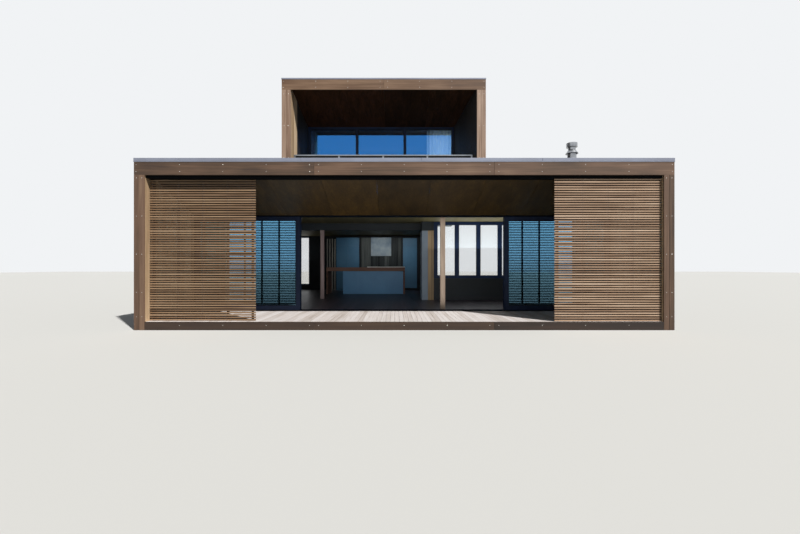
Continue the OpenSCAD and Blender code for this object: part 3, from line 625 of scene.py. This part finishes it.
def make_walls():
    upper0, upper1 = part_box("upper_floor")
    base, top = upper0.z, cad_high.z
    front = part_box("left_wall")[0].y
    make_wall("left_wall", ACROSS, -1, "dark_lining", inner=(front, DOORS))
    make_wall("right_wall", ACROSS, 1, "dark_lining", inner=(front, DOORS))
    make_wall("back_wall", BACK, 1, "dark_lining", [NARROW])
    make_wall("dining_wall", BACK, 1, "dark_lining", [WIDE, (upper0.x, upper1.x, base, top)])
    # The wing's wall starts as the corner that the dining window stands in
    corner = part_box("dining_wall")[1].y
    low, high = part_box("wing_wall")
    side, _, sill, head = WIDE
    ends = new_mesh()
    block(ends, (low.x, low.y, low.z), (side, corner, base))
    block(ends, (side, low.y, low.z), (high.x, corner, sill))
    block(ends, (side, low.y, head), (high.x, corner, base))
    settle(ends, "wing_corner", ["dark_lining"], ["wing_wall"])
    make_wall("wing_wall", ACROSS, 1, "dark_lining", [(corner, upper1.y, base, top)], run_from=corner)
    make_wall("upper_left_wall", ACROSS, -1, "pale_lining")
    make_wall("upper_right_wall", ACROSS, 1, "pale_lining")
    make_wall("upper_back_wall", BACK, 1, "pale_lining", [SMALL])


# The loggia's cheeks: the width of their boards, and how far back the left one's turned boards reach. They
# stop short, so that more of the cheek is in the blacker boards, as painted shade
CHEEK_WIDTH = 0.12
TURNED = 0.5
UPPER_LINING = 18 * MM


def make_cheeks():
    """The loggia's cheeks: upright boards on a wedge, following its splay and the lining's slope.
    The first boards of the left one are the frame's own timber, turned inwards. The blacker boards after
    them are painted shade."""
    low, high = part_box("upper_cheek")
    soffit_low, soffit_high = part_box("upper_soffit")
    drop = (soffit_high.z - soffit_low.z - UPPER_LINING) / (soffit_high.y - soffit_low.y)
    window = soffit_high.y
    left_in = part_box("upper_frames")[0].x
    right_in = opening_of("upper_frames", lambda c: c.y < window + 0.1)[1]
    for side, wall_x, face_x in (("left", low.x, left_in), ("right", high.x, right_in)):
        bm = new_mesh()
        count = round((window - low.y) / CHEEK_WIDTH)
        step = (window - low.y) / count
        for i in range(count):
            y0 = low.y + i * step
            tone = rng.random()
            finish = 0 if side == "left" and y0 - low.y < TURNED else 1
            block(bm, (0, y0, low.z), (1, y0 + step - CLAD_GAP, high.z), tone, finish)
        block(bm, (0, window, low.z), (1, high.y, high.z), 0.5, 1)
        # So far each board runs from 0 at the wall to 1 at its face
        for vert in bm.verts:
            along = min(1.0, (vert.co.y - low.y) / (window - low.y))
            vert.co.x = wall_x if vert.co.x < 0.5 else wall_x + (face_x - wall_x) * along
            if vert.co.z > low.z + MM:
                reach = min(max(vert.co.y, soffit_low.y), window)
                vert.co.z = soffit_low.z + (soffit_high.y - reach) * drop
        bmesh.ops.recalc_face_normals(bm, faces=bm.faces[:])
        settle(bm, side + "_cheek_boards", ["reveal", "inner_cladding"],
               ["upper_cheek"])


# Floors, ceilings and roofs
DECK_WIDTH, DECK_GAP = 0.094, 4 * MM
FLOOR_WIDTH, FLOOR_GAP, FLOOR_LENGTH, FLOOR_THICK = 0.13, 1.5 * MM, 2.4, 15 * MM


def make_deck():
    low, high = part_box("deck")
    bm = new_mesh()
    lay_boards(bm, low, high, BACK, ACROSS, DECK_WIDTH, DECK_GAP)
    settle(bm, "deck_boards", ["deck"], ["deck"], EDGE)


def make_floor():
    low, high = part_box("ground_slab")
    top = high.z - FLOOR_THICK
    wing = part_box("wing_wall")[0].x
    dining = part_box("dining_wall")[0].y
    bm = new_mesh()
    for x0, x1, y0, y1 in ((low.x, high.x, low.y, dining), (low.x, wing, dining, high.y)):
        block(bm, (x0, y0, low.z), (x1, y1, top), 0.5, 1)
        lay_boards(bm, (x0, y0, top), (x1, y1, high.z), BACK, ACROSS, FLOOR_WIDTH, FLOOR_GAP,
                   length=FLOOR_LENGTH)
    settle(bm, "floorboards", ["floor", "concrete"], ["ground_slab"])


def make_upper_floor():
    """Floorboards on a slab, with cladding on its edges and under the part that overhangs."""
    low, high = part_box("upper_floor")
    top = high.z - FLOOR_THICK
    bm = new_mesh()
    block(bm, (low.x + CLAD, low.y + CLAD, low.z + CLAD), (high.x - CLAD, high.y - CLAD, top), 0.5, 1)
    lay_boards(bm, (low.x, low.y, top), high, BACK, ACROSS, FLOOR_WIDTH, FLOOR_GAP, length=FLOOR_LENGTH)
    lay_boards(bm, low, (high.x, high.y, low.z + CLAD), BACK, ACROSS, CLAD_WIDTH, CLAD_GAP, material=2)
    for y in (low.y, high.y - CLAD):
        block(bm, (low.x, y, low.z + CLAD), (high.x, y + CLAD, top), 0.5, 2)
    for x in (low.x, high.x - CLAD):
        block(bm, (x, low.y + CLAD, low.z + CLAD), (x + CLAD, high.y - CLAD, top), 0.5, 2)
    settle(bm, "upper_floor_boards", ["floor", "concrete", "cladding"], ["upper_floor"])


# The width of a sheet of ply, and its eased edge
SHEET, SHEET_EDGE = 1.2, 1.5 * MM


def make_soffit(node, name, finish):
    """Sheets laid flat and then sheared to the slope of the lining that they replace."""
    low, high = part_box(node)
    corners = [v.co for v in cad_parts[node].data.vertices]
    front_z = min(c.z for c in corners if c.y < low.y + MM)
    back_z = min(c.z for c in corners if c.y > high.y - MM)
    thick = high.z - front_z
    bm = new_mesh()
    lay_boards(bm, (low.x, low.y, 0), (high.x, high.y, thick), BACK, ACROSS, SHEET, JOINT)
    soften(bm, SHEET_EDGE)
    slope = (back_z - front_z) / (high.y - low.y)
    shear = Matrix.Identity(4)
    shear[2][1] = slope
    shear[2][3] = front_z - slope * low.y
    bmesh.ops.transform(bm, matrix=shear, verts=bm.verts[:])
    settle(bm, name, [finish], [node])


# Folded caps: their lengths, open joints and folds, and the lip that turns down over the boards
CAP_LENGTH, CAP_GAP, CAP_FOLD = 2.42, 4 * MM, 3 * MM
LIP_HIGH, LIP_THICK = 20 * MM, 5 * MM


def lower_rim(wide):
    """A rim of this width along the lower roof's outline: x0, x1, y0, y1 and the axis of each side."""
    low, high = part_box("roof_cap")
    proud = high.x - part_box("right_wall")[1].x
    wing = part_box("wing_wall")[1].x + proud
    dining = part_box("dining_wall")[1].y + proud
    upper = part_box("upper_floor")[1]
    return [(low.x, high.x, low.y, low.y + wide, ACROSS),
            (low.x, low.x + wide, low.y + wide, high.y, BACK),
            (low.x + wide, wing, high.y - wide, high.y, ACROSS),
            (wing - wide, wing, upper.y, high.y - wide, BACK),
            (upper.x, high.x, dining - wide, dining, ACROSS),
            (high.x - wide, high.x, low.y + wide, dining - wide, BACK)]


def upper_rim():
    """The same for the upper roof, whose walls are as wide as their cap, but for the one in front."""
    low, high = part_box("upper_cap")
    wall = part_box("upper_left_wall")[1].x - low.x
    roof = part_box("upper_roof")[0].y
    return [(low.x, high.x, low.y, roof, ACROSS),
            (low.x, high.x, high.y - wall, high.y, ACROSS),
            (low.x, low.x + wall, roof, high.y - wall, BACK),
            (high.x - wall, high.x, roof, high.y - wall, BACK)]


def make_caps():
    """Folded caps in lengths, butted with open joints. The lower ones turn down over the boards."""
    pillar = -IN_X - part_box("roof_cap")[0].x
    for node, rim, lip in (("roof_cap", lower_rim(pillar), lower_rim(LIP_THICK)),
                           ("upper_cap", upper_rim(), [])):
        low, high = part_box(node)
        bm = new_mesh()
        for x0, x1, y0, y1, along in rim:
            across = ACROSS + BACK - along
            span = (x1 - x0, y1 - y0)[across]
            lay_boards(bm, (x0, y0, low.z), (x1, y1, high.z), along, across, span, CAP_GAP,
                       length=CAP_LENGTH)
        for x0, x1, y0, y1, along in lip:
            lay_boards(bm, (x0, y0, low.z - LIP_HIGH), (x1, y1, low.z), along, UP, LIP_HIGH, 0,
                       length=CAP_LENGTH)
        settle(bm, node + "_sheets", ["cap"], [node], CAP_FOLD)


LAP, LAP_RISE, LAP_STEP = 0.06, 3 * MM, 1.05


def make_roof_laps():
    """Welded laps between the sheets of roofing, each a low strip."""
    bm = new_mesh()
    upper0, upper1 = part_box("upper_floor")
    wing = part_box("wing_wall")[0].x
    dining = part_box("dining_wall")[0].y
    for node in ("roof_deck", "upper_roof"):
        low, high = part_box(node)
        for k in range(1, math.ceil((high.x - LAP - low.x) / LAP_STEP)):
            x = low.x + k * LAP_STEP
            back, blocked = high.y, []
            if node == "roof_deck":
                back = high.y if x + LAP < wing else dining
                blocked = [(upper0.y, upper1.y)] if upper0.x < x + LAP and x < upper1.x else []
            for s, t in free_spans(low.y, back, blocked):
                block(bm, (x, s, high.z), (x + LAP, t, high.z + LAP_RISE))
    settle(bm, "roof_laps", ["membrane"], (), MM)


# Screens and doors
def make_screen_fixings(node):
    """A small pin wherever a slat crosses a batten. The end battens stand in by their own width."""
    low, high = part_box(node)
    step = (high.x - low.x - 3 * BATTEN_WIDE) / (BATTENS - 1)
    columns = [low.x + 1.5 * BATTEN_WIDE + j * step for j in range(BATTENS)]
    rows = [low.z + SLAT_HIGH / 2 + i * SLAT_PITCH for i in range(SLATS)]
    bm = new_mesh()
    screws(bm, columns, low.y, rows, PIN_R, PIN_RISE)
    settle(bm, node + "_pins", ["pins"], body=node)


# A rubber bead's face and how far it stands out of the glass, and those of the balustrade's channels
BEAD, BEAD_PROUD = 9 * MM, 5 * MM
CHANNEL, CHANNEL_PROUD = 40 * MM, 4 * MM


def pane_beads(name, low, high, body):
    """Rubber beads round a pane, on both of its faces."""
    bm = new_mesh()
    for y0, y1 in ((low.y - BEAD_PROUD, low.y), (high.y, high.y + BEAD_PROUD)):
        for z in (low.z, high.z - BEAD):
            block(bm, (low.x, y0, z), (high.x, y1, z + BEAD))
        for x in (low.x, high.x - BEAD):
            block(bm, (x, y0, low.z + BEAD), (x + BEAD, y1, high.z - BEAD))
    settle(bm, name, ["gasket"], (), MM, body)


def solids_of(node):
    """The box of each separate solid in a node, the front ones first, and then from left to right."""
    bm = bmesh.new()
    bm.from_mesh(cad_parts[node].data)
    bmesh.ops.remove_doubles(bm, verts=bm.verts[:], dist=0.01 * MM)
    left, boxes = set(bm.verts), []
    while left:
        group, edge = set(), [left.pop()]
        while edge:
            vert = edge.pop()
            group.add(vert)
            near = {e.other_vert(vert) for e in vert.link_edges} & left
            left -= near
            edge.extend(near)
        low, high = (Vector([pick(v.co[i] for v in group) for i in range(3)]) for pick in (min, max))
        boxes.append((low, high))
    bm.free()
    return sorted(boxes, key=lambda box: (round(box[0].y, 2), box[0].x))


def make_beads():
    doors = {"left_door_glass": "left_door", "right_door_glass": "right_door"}
    for node in ("fixed_glass", *doors, "window_glass", "upper_glass"):
        for k, (low, high) in enumerate(solids_of(node)):
            pane_beads(f"{node}_bead_{k}", low, high, doors.get(node, "root"))


def make_glazing_channels():
    """Dark channels along the top of the balustrade's panes, under the rail."""
    bm = new_mesh()
    for low, high in solids_of("balustrade_glass"):
        for y0, y1 in ((low.y - CHANNEL_PROUD, low.y), (high.y, high.y + CHANNEL_PROUD)):
            block(bm, (low.x, y0, high.z - CHANNEL), (high.x, y1, high.z))
    settle(bm, "glazing_channels", ["gasket"])


# A door pull stands in the middle of its stile. Its plate and its grip: half the width, how far the
# back and the face stand out of the stile, and the foot and the head above the floor
STILE = 0.1
PLATE = 14 * MM, 0, 6 * MM, 0.92, 1.18
GRIP = 6 * MM, 6 * MM, 10 * MM, 0.95, 1.15


def make_pulls():
    """A flat pull on the leading stile of each sliding leaf."""
    for body in ("left_door", "right_door"):
        low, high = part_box(body)
        x = high.x - STILE / 2 if body == "left_door" else low.x + STILE / 2
        bm = new_mesh()
        for half, back, face, foot, head in (PLATE, GRIP):
            block(bm, (x - half, low.y - face, FLOOR + foot), (x + half, low.y - back, FLOOR + head))
        settle(bm, body + "_pull", ["rail"], (), 1.5 * MM, body)


# Kitchen: the joints between boards and between doors, a door's thickness and edge, and the kick space
BOARD_GAP, DOOR_GAP = 1.5 * MM, 4 * MM
DOOR_THICK, DOOR_EDGE = 20 * MM, 1.5 * MM
KICK = 0.1
ISLAND_BOARD, ISLAND_DOOR = 0.15, 0.6
# The stone lies on the island's right part, from this share of its length on
BENCH_FROM, BENCH_THICK = 0.52, 30 * MM
# The cupboards end short of the wing's wall. Their upper doors start at one height
CUPBOARD_DOOR, CUPBOARD_FILLER, CUPBOARD_SPLIT, CUPBOARD_TOP = 0.52, 0.16, 2.1, 20 * MM
LINING_BOARD, LINING_GAP = 0.11, 3 * MM
# The bare canvas: its left and right, foot and head, and how far it stands out
CANVAS_X, CANVAS_Z, CANVAS_THICK = (-1.319, -0.363), (1.781, 2.656), 30 * MM


def make_island():
    low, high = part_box("island_top")
    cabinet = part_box("kitchen_island")[1]
    top, end = high.z - cabinet.z, high.x - cabinet.x
    bm = new_mesh()
    lay_boards(bm, (low.x, low.y, high.z - top), high, ACROSS, BACK, ISLAND_BOARD, BOARD_GAP)
    for x0, x1 in ((low.x, low.x + end), (high.x - end, high.x)):
        lay_boards(bm, (x0, low.y, low.z), (x1, high.y, high.z - top), UP, BACK, ISLAND_BOARD, BOARD_GAP)
    settle(bm, "island_boards", ["island_timber"], ["island_top"], EDGE)
    bm = new_mesh()
    bench_x = low.x + BENCH_FROM * (high.x - low.x)
    block(bm, (bench_x, low.y, high.z), (high.x, high.y, high.z + BENCH_THICK))
    settle(bm, "island_bench", ["stone"], (), EDGE)
    low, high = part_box("kitchen_island")
    bm = new_mesh()
    block(bm, (low.x, low.y + DOOR_THICK, low.z), (high.x, high.y - DOOR_THICK, high.z))
    for y0, y1 in ((low.y, low.y + DOOR_THICK), (high.y - DOOR_THICK, high.y)):
        lay_boards(bm, (low.x, y0, low.z + KICK), (high.x, y1, high.z), UP, ACROSS, ISLAND_DOOR, DOOR_GAP)
    settle(bm, "island_fronts", ["island_lacquer"], ["kitchen_island"], DOOR_EDGE)


def make_cupboards():
    bm = new_mesh()
    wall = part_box("wing_wall")[0].x
    for low, high in solids_of("tall_cupboards"):
        front = low.y + DOOR_THICK
        block(bm, (low.x, front, low.z), high, 0.5, 1 if high.x > wall - MM else 0)
        end = min(high.x, wall - CUPBOARD_FILLER)
        split = low.z + CUPBOARD_SPLIT
        for z0, z1 in ((low.z + KICK, split), (split + DOOR_GAP, high.z - CUPBOARD_TOP)):
            lay_boards(bm, (low.x, low.y, z0), (end, front, z1), UP, ACROSS, CUPBOARD_DOOR, DOOR_GAP)
    settle(bm, "cupboard_fronts", ["lacquer", "dark_lining"],
           ["tall_cupboards"], DOOR_EDGE)
    low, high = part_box("kitchen_lining")
    canvas = new_mesh()
    block(canvas, (CANVAS_X[0], low.y - CANVAS_THICK, CANVAS_Z[0]), (CANVAS_X[1], low.y, CANVAS_Z[1]))
    settle(canvas, "bare_panel", ["canvas"], (), 3 * MM)
    bm = new_mesh()
    lay_boards(bm, low, high, UP, ACROSS, LINING_BOARD, LINING_GAP)
    settle(bm, "lining_boards", ["kitchen_lining"], ["kitchen_lining"], EDGE)


# The share of the wall block's face that is painted, and its timber's thickness and joints
NIB_PAINTED, NIB_THICK, NIB_GAP = 0.65, 12 * MM, 2 * MM


def make_nib():
    """The block beside the dining room: painted on its left, timber on its right.
    The timber goes on as a thin lining, as far as the dining window."""
    low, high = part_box("wall_nib")
    window = WIDE[0]
    middle = low.x + NIB_PAINTED * (high.x - low.x)
    bm = new_mesh()
    block(bm, low, (middle - JOINT / 2, high.y, high.z), 0.5, 0)
    lay_boards(bm, (middle + JOINT / 2, low.y, low.z), high, UP, ACROSS, high.x - middle, NIB_GAP,
               material=1)
    lay_boards(bm, (high.x + JOINT / 2, low.y - NIB_THICK, low.z), (window, low.y, high.z), UP, ACROSS,
               window - high.x, NIB_GAP, material=1)
    settle(bm, "nib_faces", ["nib_paint", "nib_timber"], ["wall_nib"], 1.5 * MM)


# A pleat's width, how many steps draw it, and the rows of faces up the cloth
PLEAT, PLEAT_STEPS, CLOTH_ROWS = 0.104, 8, 8
# How far the cloth keeps from its ends and from the front and back of its room
CLOTH_END, CLOTH_SIDE = 2 * MM, 4 * MM


def make_curtain():
    """Sheer cloth gathered to about half its width, hung from the ceiling. Its pleats vary in depth."""
    low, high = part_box("curtain")
    pleats = max(1, math.floor((high.x - low.x) / PLEAT))
    steps = pleats * PLEAT_STEPS
    middle = (low.y + high.y) / 2
    swing = (high.y - low.y) / 2 - CLOTH_SIDE
    bm = new_mesh()
    verts = []
    for i in range(steps + 1):
        t = i / steps
        depth = swing * math.sin(2 * math.pi * pleats * t) * (0.85 + 0.15 * math.sin(9 * t))
        verts.append(bm.verts.new((low.x + t * (high.x - low.x), middle + depth, low.z + CLOTH_END)))
    edges = [bm.edges.new(pair) for pair in zip(verts, verts[1:])]
    height = high.z - low.z - 2 * CLOTH_END
    for _ in range(CLOTH_ROWS):
        made = bmesh.ops.extrude_edge_only(bm, edges=edges)
        moved = [g for g in made["geom"] if isinstance(g, bmesh.types.BMVert)]
        edges = [g for g in made["geom"] if isinstance(g, bmesh.types.BMEdge)]
        bmesh.ops.translate(bm, verts=moved, vec=(0, 0, height / CLOTH_ROWS))
    for face in bm.faces:
        face.smooth = True
    piece = settle(bm, "sheer_curtain", ["sheer"], ["curtain"])


def dress_nodes():
    """The CAD nodes that stay as they are get their finish."""
    for finish, nodes in {
        "framing": ["deck_joists", "fascia_beam", "door_beam", "upper_beams"],
        "aluminium": ["window_frames", "fixed_panels", "left_door", "right_door", "upper_frames"],
        "door_glass": ["fixed_glass", "left_door_glass", "right_door_glass"],
        "membrane": ["roof_deck", "upper_roof"],
        "beam_paint": ["living_beam"], "batten": ["kitchen_battens"], "clear_glass": ["window_glass"],
        "ceiling": ["room_ceiling"], "track": ["head_track"], "rear_slats": ["left_screen"],
        "slats": ["right_screen"], "door_coat_painted_shade": ["door_frame"], "post": ["front_post"],
        "red_post": ["inner_post"], "pale_lining": ["upper_ceiling"], "upper_glass": ["upper_glass"],
        "rail": ["balustrade"], "rail_glass": ["balustrade_glass"], "flue": ["flue"],
    }.items():
        for node in nodes:
            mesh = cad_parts[node].data
            mesh.materials.clear()
            mesh.materials.append(FINISH[finish])


def background_ray(tree):
    """One for rays from the camera, mirrors and glass, which see the background as it looks."""
    path = add(tree, "LightPath").outputs
    seen = path["Is Camera Ray"]
    for kind in ("Is Glossy Ray", "Is Transmission Ray"):
        seen = add(tree, "Math", {"operation": "ADD", "use_clamp": True},
                   {0: seen, 1: path[kind]}).outputs[0]
    return seen


# A Mix node has sockets of the same name for each kind of value. These are its factor and its colours
MIX_FACTOR, MIX_FIRST, MIX_SECOND, MIXED = 0, 6, 7, 2


def make_stage():
    """A plain pale floor, which isn't part of the house. It is seen pale, but throws little light back."""
    bm = bmesh.new()
    bmesh.ops.create_grid(bm, x_segments=1, y_segments=1, size=90)
    mesh = bpy.data.meshes.new("floor_plane")
    bm.to_mesh(mesh)
    bm.free()
    floor = show("floor_plane", mesh)
    floor.location = (0, 0, -2 * MM)
    material, tree, shader = start("pale_floor", Roughness=0.9)
    shade = add(tree, "Mix",
                {"data_type": "RGBA", MIX_FIRST: linear("#6C6D6A"), MIX_SECOND: linear("#CDCECD")},
                {MIX_FACTOR: background_ray(tree)})
    tree.links.new(shade.outputs[MIXED], shader.inputs["Base Color"])
    mesh.materials.append(material)


def make_lamp(name, kind, power, aim, colour):
    """A lamp that shines along a direction."""
    data = bpy.data.lights.new(name, kind)
    data.energy = power
    data.color = colour
    lamp = show(name, data)
    lamp.rotation_mode = "QUATERNION"
    lamp.rotation_quaternion = Vector(aim).to_track_quat("-Z", "Y")
    return lamp


def make_fill(name, place, size, power, aim, colour=(1.0, 0.98, 0.96)):
    """A wide soft lamp inside the house, which isn't seen itself."""
    lamp = make_lamp(name, "AREA", power, aim, colour)
    lamp.location = place
    lamp.data.shape = "RECTANGLE"
    lamp.data.size, lamp.data.size_y = size
    lamp.visible_camera = False
    lamp.visible_glossy = False
    lamp.visible_transmission = False


# How far a lamp hangs under a ceiling, and stands in front of a window
HANG, STAND_OFF = 0.06, 0.03


def make_light():
    """Soft light from the front right and above, an even pale surround, and fill in the rooms."""
    key = make_lamp("key", "SUN", 4.6, (-0.9, 1.0, -1.6), (1.0, 0.97, 0.92))
    key.data.angle = math.radians(1.5)
    # The rooms: light from above, and from the doorway at the height of the eye
    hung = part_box("room_ceiling")[0].z - HANG
    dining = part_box("dining_wall")[0].y
    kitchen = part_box("kitchen_lining")[0].y
    make_fill("living_fill", (0, (DOORS + dining) / 2, hung), (9.0, 2.0), 45, (0, 0.9, -1))
    make_fill("kitchen_fill", (-0.6, kitchen - 0.9, hung), (3.0, 1.4), 30, (0, 0.5, -1))
    make_fill("front_fill", (0, DOORS + 0.2, FLOOR + 1.25), (9.0, 2.2), 40, (0, 1, 0))
    # Daylight from the windows, sent up on to the ceiling
    for name, hole, wall, power in (("dining_day", WIDE, dining, 90), ("narrow_day", NARROW, BACK_WALL, 8)):
        x0, x1, z0, z1 = hole
        middle = ((x0 + x1) / 2, wall - STAND_OFF, (z0 + z1) / 2)
        make_fill(name, middle, (x1 - x0, z1 - z0), power, (0, -0.5, 0.85))
    # The room upstairs, and the cloth behind its window
    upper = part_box("upper_ceiling")[0]
    make_fill("upper_fill", (0, upper.y + 2.2, upper.z - HANG), (3.4, 2.0), 14, (0, -0.6, -1))
    cloth_low, cloth_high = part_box("curtain")
    cloth = (cloth_low + cloth_high) / 2
    make_fill("cloth_fill", (cloth.x, upper.y - 48 * MM, cloth.z), (0.73, 1.9), 3.8, (0, 1, 0),
              (0.78, 1.0, 0.93))
    world = bpy.data.worlds.new("surround")
    world.use_nodes = True
    tree = world.node_tree
    tree.nodes.clear()
    even = add(tree, "Background", {"Strength": 0.12, "Color": linear("#E6EEF7")})
    shown = add(tree, "Background", {"Strength": 1.0, "Color": linear("#F1F3F5")})
    both = add(tree, "MixShader",
               links={0: background_ray(tree), 1: even.outputs[0], 2: shown.outputs[0]})
    add(tree, "OutputWorld", links={"Surface": both.outputs[0]})
    bpy.context.scene.world = world


make_camera()
make_light()
make_stage()
make_lower_frame()
make_upper_frame()
make_walls()
make_cheeks()
make_nib()
make_deck()
make_floor()
make_upper_floor()
make_soffit("verandah_soffit", "verandah_sheets", "soffit")
make_soffit("upper_soffit", "upper_sheets", "upper_soffit")
make_caps()
make_roof_laps()
for screen in ("left_screen", "right_screen"):
    make_screen_fixings(screen)
make_beads()
make_pulls()
make_glazing_channels()
make_island()
make_cupboards()
make_curtain()
dress_nodes()

bpy.context.scene.view_settings.view_transform = "Standard"
